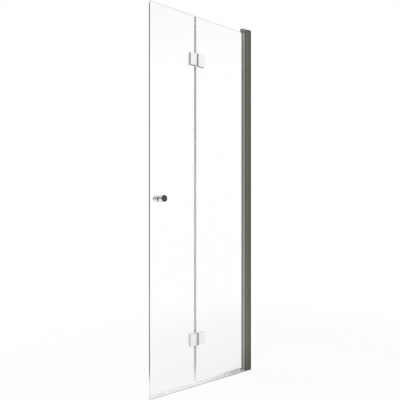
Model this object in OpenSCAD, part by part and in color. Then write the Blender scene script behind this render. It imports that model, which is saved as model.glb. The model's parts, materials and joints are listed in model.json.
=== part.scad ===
// Bifold shower door: a wall profile, a glass pane that turns on the wall profile and a second
// pane that folds against it, with two block hinges, a double knob and a low threshold rail.
// X = 0 is the wall face and the door runs towards -X. -Y is the outside, Z = 0 is the floor.
// Y = 0 is the middle of the glass. All lengths are in millimetres.

/* [Overall] */
// Width from the wall face to the free edge of the glass
door_w = 703.5; // [650:0.5:900]
// Height of the wall profiles
door_h = 2005; // [1850:5:2200]
// Width of the folding pane, from the fold line to the free edge
fold_w = 291.8; // [250:0.1:320]

/* [Glass] */
// Thickness of the glass
glass_t = 8; // [6:0.5:9]
// Height of the glass above the floor
glass_floor_gap = 13; // [12.6:0.2:16]
// Gap between the two panes at the fold line
pane_gap = 13; // [11:0.5:15]

/* [Wall channel] */
// Width of the channel across the door
channel_w = 30; // [29.4:0.2:34]
// Wall thickness of the channel
channel_t = 1.8; // [1.2:0.1:2]
// Depth of the two outer flanges
channel_flange = 14; // [10:1:17]
// Depth of the two inner legs that the jamb slides over
channel_leg = 29; // [26:1:30]
// Sliding clearance between channel and jamb, on each side
slide_gap = 0.2; // [0.1:0.05:0.3]
// Diameter of the holes for the wall screws
wall_hole_d = 6; // [5:0.5:8]
// Distance of the outer wall holes from the ends of the channel
wall_hole_end = 100; // [60:5:200]
// Spacing of the two inner wall holes
wall_hole_inner = 600; // [400:10:900]
// Thickness of the cap on top of channel and jamb
cap_t = 4; // [2:0.5:6]
// Height of that cap's top above the upper pivot block
cap_rise = 2; // [0:0.5:2]

/* [Jamb profile] */
// Distance of the wall pivot axis from the wall face
pivot_x = 50; // [50:0.5:59]
// Wall thickness of the jamb
jamb_t = 1.6; // [1.2:0.1:2]
// Gap between the jamb and the wall, taken up by the channel
jamb_wall_gap = 3; // [2.4:0.2:8]
// Distance from the pivot axis to the lip on the outside
lip_out = 4.4; // [3.6:0.2:5]
// Bevel on the corners of both lips
lip_bevel = 2; // [1:0.2:2.2]
// Gap between the gasket and the lip on the inside when the door is open
lip_play = 1.2; // [0.8:0.1:1.8]
// Clearance between the round stile and its seat in the jamb
seat_gap = 0.6; // [0.4:0.1:0.8]
// Number of clamp screws that fix the jamb in the channel
clamp_n = 3; // [2:1:5]
// Distance of the outer clamp screws from the ends
clamp_end = 300; // [200:10:500]

/* [Stile] */
// Diameter of the round stile on the glass edge
stile_d = 20.6; // [19.8:0.1:20.8]
// Depth of the glazing slot
slot_depth = 8; // [6.5:0.5:8.5]
// Thickness of the glazing gasket on each side of the glass
gasket_t = 1; // [0.7:0.1:1.2]

/* [Pivots] */
// Diameter of the round pivot blocks
block_d = 32; // [29:0.5:33]
// Distance of the blocks' middle from the pivot axis, towards the glass
block_shift = 4; // [0:0.5:5]
// Height of the pivot blocks
block_h = 16; // [15:0.5:22]
// Diameter of the pivot pins
pivot_pin_d = 6; // [5:0.2:6]
// Radial running clearance of every pin in its bush
running = 0.05; // [0.03:0.01:0.09]
// Wall of the pivot bushes
bush_wall = 2; // [1.5:0.1:2.6]
// Depth of the pivot bushes in the blocks
bush_depth = 12; // [8:0.5:12.5]
// Diameter of the bush flanges
flange_d = 15; // [13:0.5:16.5]
// Thickness of the bush flanges
flange_t = 1.3; // [1:0.1:2]
// Axial play between bush flange and stile plug
play = 0.2; // [0.1:0.05:0.4]
// Thickness of the plugs at the ends of the stile
plug_t = 3; // [2.6:0.1:4]

/* [Threshold rail] */
// Width of the rail across the door
rail_w = 30; // [24:1:40]
// Height of the rail's ridge
rail_h = 8; // [7:0.2:8.2]
// Height of the rail's outer edge
rail_edge_out = 6; // [3:0.5:6]
// Height of the rail's inner edge
rail_edge_in = 3; // [2.6:0.2:6]
// Width of the flat ridge
rail_land = 8; // [4:0.5:12]
// Wall thickness of the rail
rail_t = 1.2; // [0.8:0.1:1.4]
// Thickness of the end cap
rail_cap_t = 3; // [2:0.5:5]

/* [Hinges] */
// Distance of the upper hinge's middle below the top of the profiles
hinge_drop = 262; // [200:2:400]
// Height of the lower hinge's middle above the floor
hinge_low_z = 253; // [150:1:400]
// Height of each hinge
hinge_h = 64; // [56:1:80]
// Width of each hinge leaf
leaf_w = 42; // [38:1:50]
// Thickness of each hinge leaf
leaf_t = 17.6; // [17:0.2:21]
// Thickness of the pads between hinge and glass
pad_t = 1; // [0.6:0.1:1.6]
// Gap between the faces of two leaves when the door is folded
leaf_gap = 1.2; // [0.8:0.1:2]
// Diameter of the hinge barrel
barrel_d = 12; // [11:0.5:13]
// Clearance between barrel and leaves
barrel_gap = 0.6; // [0.4:0.1:1]
// Diameter of the hinge pins
hinge_pin_d = 6; // [5:0.2:6.6]
// Wall of the bush in the folding leaf's knuckle
hinge_bush_wall = 1; // [0.8:0.1:1.2]
// Thickness of the washer between the two knuckles
washer_t = 1; // [0.6:0.1:2]
// Width of the clamp plates on the inside
plate_w = 20; // [18:1:38]
// Height of the clamp plates
plate_h = 50; // [44:1:56]
// Thickness of the clamp plates
plate_t = 4; // [3.6:0.2:6]
// Spacing of the two clamp screws of a plate
plate_screw_gap = 28; // [24:1:30]

/* [Seals] */
// Thickness of the clear seal strips
seal_t = 1; // [0.8:0.1:1.4]
// Length of the strips' legs along the glass
seal_leg = 10; // [7:0.5:13]
// Gap between the two seals at the fold line
seal_play = 0.6; // [0.4:0.1:1]
// Gap between the drip seal's lip and the threshold rail
lip_gap = 0.8; // [0.6:0.1:1.4]

/* [Knob] */
// Diameter of the knobs
knob_d = 34; // [26:1:36]
// Length of each knob
knob_len = 35; // [28:1:36]
// Distance of the knob from the free edge
knob_edge = 63; // [45:0.5:90]
// Height of the knob above the floor
knob_z = 998; // [850:1:1150]
// Depth of the round recess in a knob's face
knob_recess = 1.2; // [0.8:0.1:2]
// Width of the rim round that recess
knob_rim = 1; // [0.8:0.1:2]
// Thickness of the dark disc in that recess
knob_disc_t = 0.8; // [0.4:0.1:0.8]
// Thickness of the washers between knob and glass
knob_washer_t = 1; // [0.6:0.1:1.6]
// Diameter of the washers between knob and glass
knob_washer_d = 22; // [18:1:25]
// Diameter of the stud that joins the two knobs
knob_stud_d = 6; // [5:0.5:6.5]
// Wall of the sleeve round the stud in the glass
knob_sleeve_wall = 2.7; // [2:0.1:3.5]

/* [Hidden] */
$fn = 64;

// Colours
metal_dark = [0.41, 0.39, 0.37];
metal_grey = [0.56, 0.56, 0.53];
chrome_tone = [0.84, 0.85, 0.86];
steel_tone = [0.72, 0.73, 0.75];
glass_tone = [0.80, 0.88, 0.86, 0.35];
clear_tone = [0.82, 0.84, 0.84, 0.6];
nylon_tone = [0.93, 0.93, 0.90];
rubber_tone = [0.25, 0.26, 0.27];
gasket_tone = [0.52, 0.52, 0.50];
smoked_tone = [0.30, 0.31, 0.33];

// Screws: shank radius, head radius and head height
m3 = [1.5, 2.7, 1.6];
m4 = [2, 3.8, 2.1];
m6 = [3, 5.5, 2.9];
hole_gap = 0.1;        // round a screw's shank and head
eps = 0.01;            // past a face that is cut

// Glass and panes
half_glass = glass_t / 2;
fold_x = door_w - fold_w;
stile_r = stile_d / 2;
slot_end = stile_r - slot_depth;           // from the pivot axis to the bottom of the slot
pane_edge_pivot = pivot_x + slot_end + gasket_t;
pane_edge_fold = fold_x - pane_gap / 2;
pane_edge_leaf = fold_x + pane_gap / 2;

// Jamb and channel
channel_half = channel_w / 2;
jamb_half = channel_half - channel_t - slide_gap;
jamb_inner = jamb_half - jamb_t;
seat_r = stile_r + seat_gap;
lip_in = half_glass + gasket_t + lip_play; // from the pivot axis
jamb_corner = 2;       // solid corner behind the deeper lip
port_r = m4[0] + hole_gap;
port_wall = 1.8;
port_boss_r = port_r + port_wall;
port_x = pivot_x - seat_r - jamb_t * 0.3 - port_boss_r;
tongue_x = port_x - port_boss_r - 0.1;     // where the blocks' tongues end
profile_top = door_h - cap_t;
clamp_x = (channel_flange + channel_leg) / 2;
clamp_head = [3.6, 2.2];                   // radius and height of a clamp screw's head
clamp_len = 8;
cover_wall = 0.8;
cover_r = clamp_head[0] + cover_wall + 0.3;
cover_h = clamp_head[1] + cover_wall + 0.4;

// Pivots
pivot_top = door_h - cap_rise;
stile_low = block_h + flange_t + play + plug_t;
stile_top = pivot_top - stile_low;
stile_len = stile_top - stile_low;
block_r = block_d / 2;
block_gap = 1.5;       // between the round blocks and what turns beside them
bush_out_r = pivot_pin_d / 2 + running + bush_wall;
plug_r = stile_r - 0.5;
plug_port = [4.7, 3.4];                    // stile's screw ports, from the pivot axis
plug_port_r = m3[0] + hole_gap;
plug_screw_len = 16;
block_screw_len = block_h + 16;
pin_reach = play + flange_t + bush_depth - 1;

// Seals
drip_x = pivot_x + block_shift + block_r + block_gap;    // where the drip seal starts, beside the lower block
seal_out = half_glass + seal_t;
drip_top = glass_floor_gap + seal_leg;
drip_lip = rail_h + lip_gap;
drip_lip_t = 1.2;
edge_seal_low = drip_top + 0.2;
hinge_room = hinge_h / 2 + 1;

// Hinges
hinge_up_z = door_h - hinge_drop;
axis_y = half_glass + pad_t + leaf_t + leaf_gap / 2;
leaf_edge = barrel_d / 2 + barrel_gap;
leaf_mid = leaf_edge + leaf_w / 2;
leaf_round = 2;
leaf_back = half_glass + pad_t;
pad_inset = 1.5;
hinge_glass_hole = m6[0] + 2;
collar_r = hinge_glass_hole - hole_gap;
knuckle_h = (hinge_h - washer_t) / 2;
pin_inset = 0.5;
hinge_screw_len = plate_t + 2 * pad_t + glass_t + 11;
leaf_bore_depth = 13;

// Knob
knob_x = door_w - knob_edge;
knob_hole_r = knob_stud_d / 2 + hole_gap + knob_sleeve_wall + hole_gap;
knob_base = half_glass + knob_washer_t;
knob_bore = 18;

// ---- helpers ----

// Repeats a piece at both hinges
module at_hinges() for (z = [hinge_up_z, hinge_low_z]) at_hinge(z) children();

module at_hinge(z) translate([-fold_x, 0, z]) children();

// 1 is the side of the pivot pane, -1 that of the folding pane
module on_side(side) {
    if (side > 0) children();
    else mirror([1, 0, 0]) children();
}

// Carries an outline in Y and Z along X from x0 to x1
module along_x(x0, x1) translate([x0, 0, 0]) rotate([90, 0, 90]) linear_extrude(x1 - x0) children();

// Carries an outline in X and Z along Y from y0 to y1
module along_y(y0, y1) translate([0, y1, 0]) rotate([90, 0, 0]) linear_extrude(y1 - y0) children();

module rounded_square(w, h, r) {
    square([w - 2 * r, h], center = true);
    square([w, h - 2 * r], center = true);
    for (x = [-1, 1], y = [-1, 1]) translate([x * (w / 2 - r), y * (h / 2 - r)]) circle(r);
}

// Countersunk screw with its head's face at Z = 0 and its tip at -len
module screw(size, len) {
    difference() {
        union() {
            translate([0, 0, -len]) cylinder(r = size[0], h = len);
            translate([0, 0, -size[2]]) cylinder(r1 = size[0], r2 = size[1], h = size[2]);
        }
        translate([0, 0, -size[2] * 0.7]) cylinder(r = size[0] * 0.75, h = size[2], $fn = 6);
    }
}

// Room for that screw through a plate of thickness t
module screw_hole(size, t) {
    translate([0, 0, -t - eps]) cylinder(r = size[0] + hole_gap, h = t + 2 * eps);
    translate([0, 0, -size[2] - hole_gap])
        cylinder(r1 = size[0] + hole_gap, r2 = size[1] + hole_gap, h = size[2] + hole_gap + eps);
}

// ---- wall side ----

module channel_section() {
    translate([-channel_t, -channel_half]) square([channel_t, channel_w]);
    for (side = [-1, 1]) {
        translate([-channel_flange, side * (channel_half - channel_t / 2) - channel_t / 2])
            square([channel_flange, channel_t]);
        translate([-channel_leg, side * (jamb_half - jamb_t - slide_gap - jamb_t / 2) - jamb_t / 2])
            square([channel_leg, jamb_t]);
    }
}

module wall_channel() {
    holes = [
        wall_hole_end, door_h - wall_hole_end,
        (door_h - wall_hole_inner) / 2, (door_h + wall_hole_inner) / 2];
    color(metal_dark) difference() {
        linear_extrude(profile_top) channel_section();
        for (z = holes) translate([-channel_t - 1, 0, z]) rotate([0, 90, 0]) cylinder(d = wall_hole_d, h = channel_t + 2);
        at_clamps() cylinder(r = m4[0] + hole_gap, h = channel_w / 2, center = true);
    }
}

// Faces a screw or a cover outwards on the jamb's inner side at each clamp point
module at_clamps() {
    pitch = (door_h - 2 * clamp_end) / (clamp_n - 1);
    for (i = [0:clamp_n - 1]) translate([-clamp_x, jamb_half, clamp_end + i * pitch]) rotate([-90, 0, 0]) children();
}

module jamb_outline() {
    out_x = pivot_x - lip_out;
    in_x = pivot_x - lip_in;
    polygon([
        [-jamb_wall_gap, -jamb_half], [lip_bevel - out_x, -jamb_half], [-out_x, lip_bevel - jamb_half], [-out_x, 0],
        [-in_x, 0], [-in_x, jamb_half - lip_bevel], [lip_bevel - in_x, jamb_half], [-jamb_wall_gap, jamb_half]]);
}

module jamb_section() {
    hollow_x = pivot_x - max(lip_out, lip_in) - jamb_corner;
    difference() {
        jamb_outline();
        difference() {
            translate([-hollow_x, -jamb_inner]) square([hollow_x, 2 * jamb_inner]);
            translate([-pivot_x, 0]) circle(seat_r + jamb_t);
            translate([-port_x, 0]) circle(port_boss_r);
        }
        translate([-pivot_x, 0]) circle(seat_r);
        translate([-port_x, 0]) circle(port_r);
    }
}

module jamb_profile() {
    color(metal_dark) difference() {
        linear_extrude(profile_top) jamb_section();
        for (z = [-eps, pivot_top - block_h]) translate([-pivot_x, 0, z]) {
            translate([-block_shift, 0, 0]) cylinder(r = block_r + hole_gap, h = block_h + eps);
            translate([0, -jamb_inner, 0]) cube([pivot_x - tongue_x, 2 * jamb_inner, block_h + eps]);
        }
        at_clamps() cylinder(r = m4[0] + hole_gap, h = channel_w / 2, center = true);
    }
}

module jamb_clamp_screws() {
    color(steel_tone) at_clamps() {
        difference() {
            cylinder(r = clamp_head[0], h = clamp_head[1]);
            translate([0, 0, clamp_head[1] * 0.4]) cylinder(r = m4[0] * 0.75, h = clamp_head[1], $fn = 6);
        }
        translate([0, 0, -clamp_len]) cylinder(r = m4[0], h = clamp_len);
    }
}

module jamb_screw_caps() {
    color(metal_dark) at_clamps() difference() {
        rotate_extrude() polygon([
            [0, 0], [cover_r, 0], [cover_r, cover_h - 1], [cover_r - 1, cover_h], [0, cover_h]]);
        translate([0, 0, -eps]) cylinder(r = cover_r - cover_wall, h = cover_h - cover_wall + eps);
    }
}

module top_cap() {
    lug_x = channel_leg - 4;
    lug_half = jamb_half - 2 * jamb_t - 2 * slide_gap;
    color(metal_dark) {
        translate([-tongue_x, -channel_half, profile_top]) cube([tongue_x, channel_w, cap_t]);
        translate([-lug_x, -lug_half, profile_top - 8])
            cube([lug_x - channel_t - slide_gap, 2 * lug_half, 8]);
    }
}

// ---- pivots ----

// A pivot block standing on Z = 0 with its bush seat opening upwards
module pivot_block() {
    difference() {
        union() {
            translate([-block_shift, 0, 0]) cylinder(r = block_r, h = block_h);
            translate([0, hole_gap - jamb_inner, 0])
                cube([pivot_x - tongue_x, 2 * (jamb_inner - hole_gap), block_h]);
        }
        translate([0, 0, block_h - bush_depth]) cylinder(r = bush_out_r, h = bush_depth + eps);
        translate([pivot_x - port_x, 0, 0]) mirror([0, 0, 1]) screw_hole(m4, block_h);
    }
}

module pivot_bush() {
    translate([0, 0, block_h]) difference() {
        union() {
            translate([0, 0, -bush_depth]) cylinder(r = bush_out_r, h = bush_depth);
            cylinder(d = flange_d, h = flange_t);
        }
        translate([0, 0, -bush_depth - eps])
            cylinder(r = pivot_pin_d / 2 + running, h = bush_depth + flange_t + 2 * eps);
    }
}

// Places a lower pivot piece on the axis, or its mirror image at the top
module at_pivot(top) {
    translate([-pivot_x, 0, top ? pivot_top : 0]) mirror([0, 0, top ? 1 : 0]) children();
}

module upper_pivot_block() color(metal_grey) at_pivot(true) pivot_block();

module lower_pivot_block() color(metal_grey) at_pivot(false) pivot_block();

module upper_pivot_bush() color(nylon_tone) at_pivot(true) pivot_bush();

module lower_pivot_bush() color(nylon_tone) at_pivot(false) pivot_bush();

module pivot_block_screws() {
    color(steel_tone) for (top = [true, false])
        at_pivot(top) translate([pivot_x - port_x, 0, 0]) mirror([0, 0, 1]) screw(m4, block_screw_len);
}

module stile_section() {
    difference() {
        circle(stile_r);
        translate([-stile_d, -half_glass - gasket_t]) square([stile_d - slot_end, glass_t + 2 * gasket_t]);
        for (side = [-1, 1]) translate([plug_port[0], side * plug_port[1]]) circle(plug_port_r);
    }
}

module pivot_stile() {
    color(metal_grey) translate([-pivot_x, 0, stile_low]) linear_extrude(stile_len) stile_section();
}

module stile_gasket() {
    gasket_half = half_glass + gasket_t;
    gasket_end = stile_r + 0.2;
    color(gasket_tone) translate([-pivot_x, 0, stile_low]) linear_extrude(stile_len) difference() {
        translate([-gasket_end, -gasket_half]) square([gasket_end - slot_end, 2 * gasket_half]);
        translate([-stile_d, -half_glass]) square([stile_d - slot_end - gasket_t, glass_t]);
    }
}

// Lower plug: a disc under the stile with the pivot pin below it
module stile_plug() {
    translate([0, 0, stile_low - plug_t]) {
        difference() {
            cylinder(r = plug_r, h = plug_t);
            for (side = [-1, 1])
                translate([plug_port[0], side * plug_port[1], 0]) mirror([0, 0, 1]) screw_hole(m3, plug_t);
        }
        translate([0, 0, -pin_reach]) cylinder(d = pivot_pin_d, h = pin_reach);
    }
}

module upper_stile_plug() color(steel_tone) at_pivot(true) stile_plug();

module lower_stile_plug() color(steel_tone) at_pivot(false) stile_plug();

module stile_plug_screws() {
    color(steel_tone) for (top = [true, false], side = [-1, 1])
        at_pivot(top) translate([plug_port[0], side * plug_port[1], stile_low - plug_t])
            mirror([0, 0, 1]) screw(m3, plug_screw_len);
}

// ---- threshold ----

module rail_outline(half, edge_out, edge_in, top, land, base) {
    polygon([
        [-half, base], [half, base], [half, edge_in], [land, top], [-land, top], [-half, edge_out]]);
}

module rail_outside() rail_outline(rail_w / 2, rail_edge_out, rail_edge_in, rail_h, rail_land / 2, 0);

// The rail's hollow, drawn in by a clearance
module rail_inside(gap) {
    wall = rail_t + gap;
    rail_outline(
        rail_w / 2 - wall, rail_edge_out - wall * 0.75, rail_edge_in - wall * 0.6,
        rail_h - wall, rail_land / 2, wall);
}

module threshold_rail() {
    color(chrome_tone) along_x(-door_w + rail_cap_t, -drip_x + 1) difference() {
        rail_outside();
        rail_inside(0);
    }
}

module threshold_end_cap() {
    color(metal_grey) {
        along_x(-door_w, -door_w + rail_cap_t) rail_outside();
        along_x(-door_w + rail_cap_t, -door_w + rail_cap_t + 10) rail_inside(0.1);
    }
}

// ---- glass and seals ----

module pivot_glass() {
    color(glass_tone) along_y(-half_glass, half_glass) difference() {
        polygon([
            [-pane_edge_fold, glass_floor_gap], [-drip_x, glass_floor_gap], [-drip_x, stile_low],
            [-pane_edge_pivot, stile_low], [-pane_edge_pivot, stile_top], [-pane_edge_fold, stile_top]]);
        hinge_glass_holes(1);
    }
}

module fold_glass() {
    color(glass_tone) along_y(-half_glass, half_glass) difference() {
        polygon([
            [-door_w, glass_floor_gap], [-pane_edge_leaf, glass_floor_gap],
            [-pane_edge_leaf, stile_top], [-door_w, stile_top]]);
        hinge_glass_holes(-1);
        translate([-knob_x, knob_z]) circle(knob_hole_r);
    }
}

module hinge_glass_holes(side) {
    for (z = [hinge_up_z, hinge_low_z], s = [-1, 1])
        translate([side * leaf_mid - fold_x, z + s * plate_screw_gap / 2]) circle(hinge_glass_hole);
}

// Clip round the bottom edge of a pane, with a lip that hangs down to the threshold rail
module drip_section() {
    difference() {
        translate([-seal_out, glass_floor_gap - seal_t]) square([2 * seal_out, seal_leg + seal_t]);
        translate([-half_glass, glass_floor_gap]) square([glass_t, seal_leg + eps]);
    }
    translate([-drip_lip_t / 2, drip_lip]) square([drip_lip_t, glass_floor_gap - drip_lip]);
}

module pivot_drip_seal() color(clear_tone) along_x(-pane_edge_fold, -drip_x) drip_section();

module fold_drip_seal() color(clear_tone) along_x(-door_w, -pane_edge_leaf) drip_section();

// Clip round a pane's edge at the fold line, with a round bulb that meets the other pane's bulb
module edge_section() {
    bulb_r = (pane_gap / 2 - seal_play / 2 - seal_t) / 2;
    translate([seal_play / 2 + bulb_r, 0]) circle(bulb_r);
    translate([seal_play / 2 + bulb_r, -bulb_r]) square([bulb_r + eps, 2 * bulb_r]);
    difference() {
        translate([pane_gap / 2 - seal_t, -seal_out]) square([seal_t + seal_leg, 2 * seal_out]);
        translate([pane_gap / 2, -half_glass]) square([seal_leg + eps, glass_t]);
    }
}

// The strip runs in three lengths, below, between and above the hinges
module edge_seal(side) {
    spans = [
        [edge_seal_low, hinge_low_z - hinge_room],
        [hinge_low_z + hinge_room, hinge_up_z - hinge_room],
        [hinge_up_z + hinge_room, stile_top]];
    for (s = spans) translate([-fold_x, 0, s[0]]) linear_extrude(s[1] - s[0]) on_side(side) edge_section();
}

module pivot_edge_seal() color(clear_tone) edge_seal(1);

module fold_edge_seal() color(clear_tone) edge_seal(-1);

// ---- hinges ----

// One leaf with its knuckle: up 1 puts the knuckle in the upper half, -1 in the lower half
module leaf(side, up, bore_r) {
    on_side(side) difference() {
        union() {
            translate([leaf_mid, -leaf_back - leaf_t / 2, -hinge_h / 2])
                linear_extrude(hinge_h) rounded_square(leaf_w, leaf_t, leaf_round);
            translate([0, -axis_y, (hinge_h / 2 - knuckle_h / 2) * up]) {
                cylinder(d = barrel_d, h = knuckle_h, center = true);
                translate([0, leaf_gap / 2, -knuckle_h / 2])
                    cube([leaf_edge + leaf_round, leaf_t * 0.7, knuckle_h]);
            }
        }
        translate([0, -axis_y, 0]) cylinder(r = bore_r, h = hinge_h + 1, center = true);
        for (z = [-1, 1]) translate([leaf_mid, -leaf_back, z * plate_screw_gap / 2])
            rotate([90, 0, 0]) translate([0, 0, -eps]) cylinder(r = m6[0] + hole_gap, h = leaf_bore_depth);
    }
}

module pivot_leaf() leaf(1, -1, hinge_pin_d / 2);

module fold_leaf() leaf(-1, 1, hinge_pin_d / 2 + running + hinge_bush_wall);

module upper_pivot_leaf() color(chrome_tone) at_hinge(hinge_up_z) pivot_leaf();

module lower_pivot_leaf() color(chrome_tone) at_hinge(hinge_low_z) pivot_leaf();

module upper_fold_leaf() color(chrome_tone) at_hinge(hinge_up_z) fold_leaf();

module lower_fold_leaf() color(chrome_tone) at_hinge(hinge_low_z) fold_leaf();

// Places a piece at each clamp screw of one side, with Z pointing to the inside
module at_plate_screws(side) {
    at_hinges() for (z = [-1, 1])
        translate([side * leaf_mid, 0, z * plate_screw_gap / 2]) rotate([-90, 0, 0]) children();
}

plate_out = half_glass + pad_t + plate_t;

module clamp_plates(side) {
    color(chrome_tone) difference() {
        at_hinges() translate([side * leaf_mid, 0, 0])
            along_y(half_glass + pad_t, plate_out) rounded_square(plate_w, plate_h, 3);
        at_plate_screws(side) translate([0, 0, plate_out]) screw_hole(m6, plate_t);
    }
}

module pivot_clamp_plates() clamp_plates(1);

module fold_clamp_plates() clamp_plates(-1);

// A pad on each face of the glass, with collars that line the glass holes
module hinge_pads(side) {
    color(clear_tone) difference() {
        union() {
            at_hinges() translate([side * leaf_mid, 0, 0]) {
                along_y(-leaf_back, -half_glass)
                    rounded_square(leaf_w - 2 * pad_inset, hinge_h - 2 * pad_inset, leaf_round);
                along_y(half_glass, half_glass + pad_t) rounded_square(plate_w, plate_h, 3);
            }
            at_plate_screws(side) cylinder(r = collar_r, h = glass_t, center = true);
        }
        at_plate_screws(side) cylinder(r = m6[0] + hole_gap, h = 4 * glass_t, center = true);
    }
}

module pivot_hinge_pads() hinge_pads(1);

module fold_hinge_pads() hinge_pads(-1);

module pivot_hinge_screws() {
    color(steel_tone) at_plate_screws(1) translate([0, 0, plate_out]) screw(m6, hinge_screw_len);
}

module fold_hinge_screws() {
    color(steel_tone) at_plate_screws(-1) translate([0, 0, plate_out]) screw(m6, hinge_screw_len);
}

module hinge_pin() {
    translate([0, -axis_y, 0]) cylinder(d = hinge_pin_d, h = hinge_h - 2 * pin_inset, center = true);
}

module upper_hinge_pin() color(steel_tone) at_hinge(hinge_up_z) hinge_pin();

module lower_hinge_pin() color(steel_tone) at_hinge(hinge_low_z) hinge_pin();

module hinge_bushes() {
    bush_r = hinge_pin_d / 2 + running;
    color(nylon_tone) at_hinges() translate([0, -axis_y, washer_t / 2]) difference() {
        cylinder(r = bush_r + hinge_bush_wall, h = knuckle_h);
        translate([0, 0, -eps]) cylinder(r = bush_r, h = knuckle_h + 2 * eps);
    }
}

module hinge_washers() {
    color(nylon_tone) at_hinges() translate([0, -axis_y, 0]) difference() {
        cylinder(d = barrel_d, h = washer_t, center = true);
        cylinder(r = hinge_pin_d / 2 + running, h = washer_t + 1, center = true);
    }
}

// ---- knob ----

// Turns a piece to the knob's axis, with Z pointing away from the glass
module at_knob(outside) {
    translate([-knob_x, 0, knob_z]) rotate([outside ? 90 : -90, 0, 0]) children();
}

module knob() {
    knob_r = knob_d / 2;
    translate([0, 0, knob_base]) difference() {
        rotate_extrude() polygon([
            [0, 0], [knob_r - 2, 0], [knob_r - 1, 1], [knob_r - 1, 3.5], [knob_r, 4.5],
            [knob_r, knob_len - 1], [knob_r - 1, knob_len], [0, knob_len]]);
        translate([0, 0, knob_len - knob_recess]) cylinder(r = knob_r - knob_rim, h = knob_recess + eps);
        translate([0, 0, -eps]) cylinder(r = knob_stud_d / 2 + hole_gap, h = knob_bore);
    }
}

module outer_knob() color(chrome_tone) at_knob(true) knob();

module inner_knob() color(chrome_tone) at_knob(false) knob();

module knob_discs() {
    color(smoked_tone) for (outside = [true, false]) at_knob(outside)
        translate([0, 0, knob_base + knob_len - knob_recess])
            cylinder(r = knob_d / 2 - knob_rim - hole_gap, h = knob_disc_t);
}

module knob_stud() {
    color(steel_tone) at_knob(true)
        cylinder(d = knob_stud_d, h = 2 * (knob_base + knob_bore - 2), center = true);
}

module knob_sleeve() {
    bore_r = knob_stud_d / 2 + hole_gap;
    color(nylon_tone) at_knob(true) difference() {
        cylinder(r = bore_r + knob_sleeve_wall, h = glass_t, center = true);
        cylinder(r = bore_r, h = glass_t + 1, center = true);
    }
}

module knob_washers() {
    color(rubber_tone) for (outside = [true, false]) at_knob(outside) difference() {
        translate([0, 0, half_glass]) cylinder(d = knob_washer_d, h = knob_washer_t);
        cylinder(r = knob_stud_d / 2 + hole_gap, h = knob_base + 1);
    }
}

wall_channel();
jamb_profile();
jamb_clamp_screws();
jamb_screw_caps();
top_cap();
upper_pivot_block();
lower_pivot_block();
upper_pivot_bush();
lower_pivot_bush();
pivot_block_screws();
threshold_rail();
threshold_end_cap();
pivot_stile();
stile_gasket();
pivot_glass();
upper_stile_plug();
lower_stile_plug();
stile_plug_screws();
pivot_drip_seal();
pivot_edge_seal();
upper_pivot_leaf();
lower_pivot_leaf();
pivot_clamp_plates();
pivot_hinge_pads();
pivot_hinge_screws();
upper_hinge_pin();
lower_hinge_pin();
fold_glass();
fold_drip_seal();
fold_edge_seal();
upper_fold_leaf();
lower_fold_leaf();
fold_clamp_plates();
fold_hinge_pads();
fold_hinge_screws();
hinge_bushes();
hinge_washers();
outer_knob();
inner_knob();
knob_discs();
knob_stud();
knob_sleeve();
knob_washers();
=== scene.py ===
import json
import math

import bmesh
import bpy
import numpy as np
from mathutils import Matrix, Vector

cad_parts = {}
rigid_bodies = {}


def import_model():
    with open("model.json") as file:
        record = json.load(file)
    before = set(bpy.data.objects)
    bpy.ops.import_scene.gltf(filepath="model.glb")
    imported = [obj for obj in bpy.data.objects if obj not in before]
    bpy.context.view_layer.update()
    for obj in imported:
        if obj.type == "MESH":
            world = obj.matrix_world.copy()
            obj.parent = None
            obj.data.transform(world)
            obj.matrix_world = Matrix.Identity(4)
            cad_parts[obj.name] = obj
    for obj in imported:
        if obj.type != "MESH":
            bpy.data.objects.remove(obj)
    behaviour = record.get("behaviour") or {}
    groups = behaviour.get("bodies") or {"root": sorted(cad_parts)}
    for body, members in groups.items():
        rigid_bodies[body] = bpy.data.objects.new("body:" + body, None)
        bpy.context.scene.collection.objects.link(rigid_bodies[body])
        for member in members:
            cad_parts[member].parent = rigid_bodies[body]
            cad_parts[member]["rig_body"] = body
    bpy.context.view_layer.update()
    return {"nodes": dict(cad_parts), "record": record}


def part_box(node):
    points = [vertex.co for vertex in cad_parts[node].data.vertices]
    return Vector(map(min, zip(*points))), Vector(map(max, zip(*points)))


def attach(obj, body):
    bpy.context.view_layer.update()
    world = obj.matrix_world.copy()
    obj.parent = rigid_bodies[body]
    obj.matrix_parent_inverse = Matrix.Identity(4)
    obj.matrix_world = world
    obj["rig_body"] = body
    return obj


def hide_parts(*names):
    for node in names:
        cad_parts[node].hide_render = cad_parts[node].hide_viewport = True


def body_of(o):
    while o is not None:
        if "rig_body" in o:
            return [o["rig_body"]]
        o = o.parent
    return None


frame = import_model()
nodes = frame["nodes"]
scene = bpy.context.scene
print("frame loaded:", len(nodes), "nodes")

mm = 0.001
slotOf = {part["node"]: part["material_slot"] for part in frame["record"]["subparts"]}


def edgesOf(node, axis):
    # where a node begins and ends along x, y or z, in millimetres to a hundredth
    return [round(corner["xyz".index(axis)] / mm, 2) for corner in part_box(node)]


def middleOf(node, axis):
    # a round node is facetted in the frame, so its middle is taken to a tenth
    return round(sum(edgesOf(node, axis)) / 2, 1)


# what several pieces and finishes share, in millimetres
door = {
    "freeEdge": edgesOf("fold_glass", "x")[0],
    "foldEdges": (edgesOf("fold_glass", "x")[1], edgesOf("pivot_glass", "x")[0]),
    "paneFoot": edgesOf("pivot_glass", "z")[0],
    "paneTop": edgesOf("pivot_glass", "z")[1],
    "glassHalf": edgesOf("pivot_glass", "y")[1],
    "lowerHinge": edgesOf("lower_pivot_leaf", "z"),
    "upperHinge": edgesOf("upper_pivot_leaf", "z"),
    "knobAt": (middleOf("outer_knob", "x"), middleOf("outer_knob", "z")),
    "knobFace": edgesOf("inner_knob", "y")[1],
}
foldLine = sum(door["foldEdges"]) / 2


# camera and studio

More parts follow.
